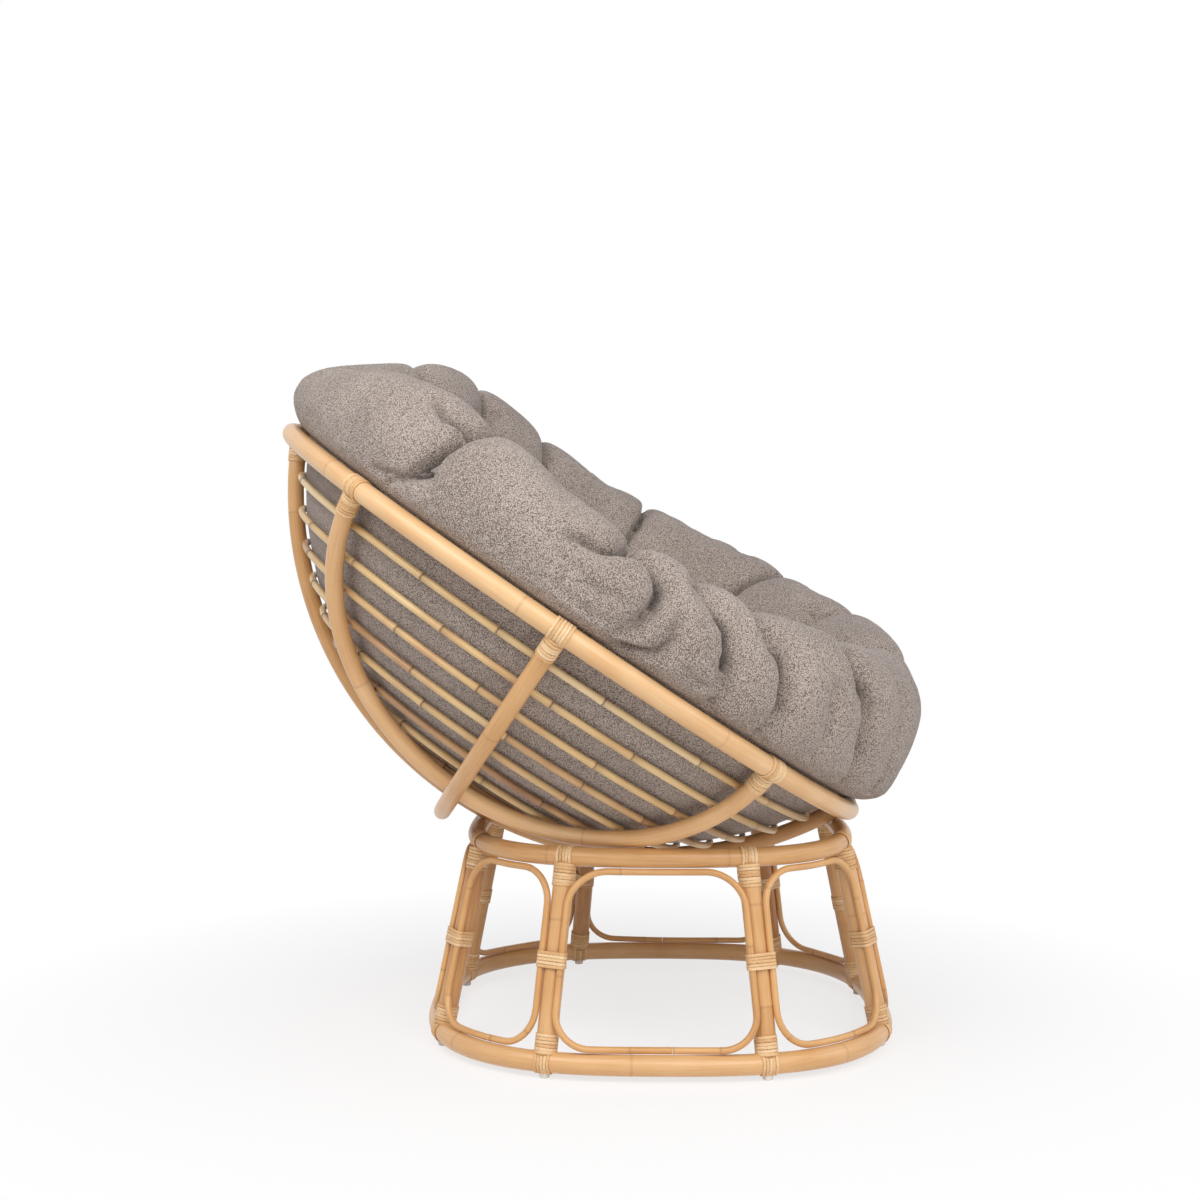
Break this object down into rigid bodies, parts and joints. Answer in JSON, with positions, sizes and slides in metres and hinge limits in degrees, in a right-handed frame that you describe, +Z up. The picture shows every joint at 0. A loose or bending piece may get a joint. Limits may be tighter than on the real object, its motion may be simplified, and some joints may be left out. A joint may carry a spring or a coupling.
{
  "type": "papasan chair",
  "caption": "Round tilted rattan bowl with a deep tufted cushion, resting loose in the top hoop of a low open stand of lashed poles and bent canes",
  "frame": {"origin": "centre of the bounding box's bottom face, on the floor", "axes": "+Z up; the low, open front of the bowl faces -Y; +X is to the right seen from the front"},
  "size_m": [1.1106, 1.0102, 1.0544],
  "materials": {
    "pole": "satin varnish",
    "cane": "satin varnish",
    "loop": "satin varnish",
    "peel": "matt peel",
    "fabric": "matt looped weave"
  },
  "bodies": {
    "stand": {"top_hoop": "pole", "bottom_hoop": "pole", "post_1": "pole", "post_top_binding_1": "peel", "post_bottom_binding_1": "peel", "panel_loop_1": "loop", "post_2": "pole", "post_top_binding_2": "peel", "post_bottom_binding_2": "peel", "panel_loop_2": "loop", "post_3": "pole", "post_top_binding_3": "peel", "post_bottom_binding_3": "peel", "panel_loop_3": "loop", "post_4": "pole", "post_top_binding_4": "peel", "post_bottom_binding_4": "peel", "panel_loop_4": "loop", "post_5": "pole", "post_top_binding_5": "peel", "post_bottom_binding_5": "peel", "panel_loop_5": "loop", "post_6": "pole", "post_top_binding_6": "peel", "post_bottom_binding_6": "peel", "panel_loop_6": "loop", "post_7": "pole", "post_top_binding_7": "peel", "post_bottom_binding_7": "peel", "panel_loop_7": "loop", "post_8": "pole", "post_top_binding_8": "peel", "post_bottom_binding_8": "peel", "panel_loop_8": "loop"},
    "bowl": {"rim": "pole", "long_pole": "pole", "cross_pole": "pole", "side_pole_left": "pole", "side_pole_right": "pole", "rim_binding_front": "peel", "rim_binding_back": "peel", "rim_binding_left": "peel", "rim_binding_right": "peel", "rim_binding_left_front": "peel", "rim_binding_left_back": "peel", "rim_binding_right_front": "peel", "rim_binding_right_back": "peel", "ring_1": "cane", "ring_2": "cane", "ring_3": "cane", "ring_4": "cane", "ring_5": "cane", "ring_6": "cane", "ring_7": "cane", "ring_8": "cane", "ring_9": "cane"},
    "cushion": {"cushion": "fabric"}
  },
  "joints": [
    {"name": "bowl_swivel", "type": "hinge", "parent": "stand", "child": "bowl", "pos_m": [-0.00025, -0.09216, 0.304], "axis": [0, 0, 1], "continuous": true},
    {"name": "cushion_lift", "type": "slide", "parent": "bowl", "child": "cushion", "axis": [0, -0.5606, 0.8281], "range_m": [0, 0.5]}
  ]
}
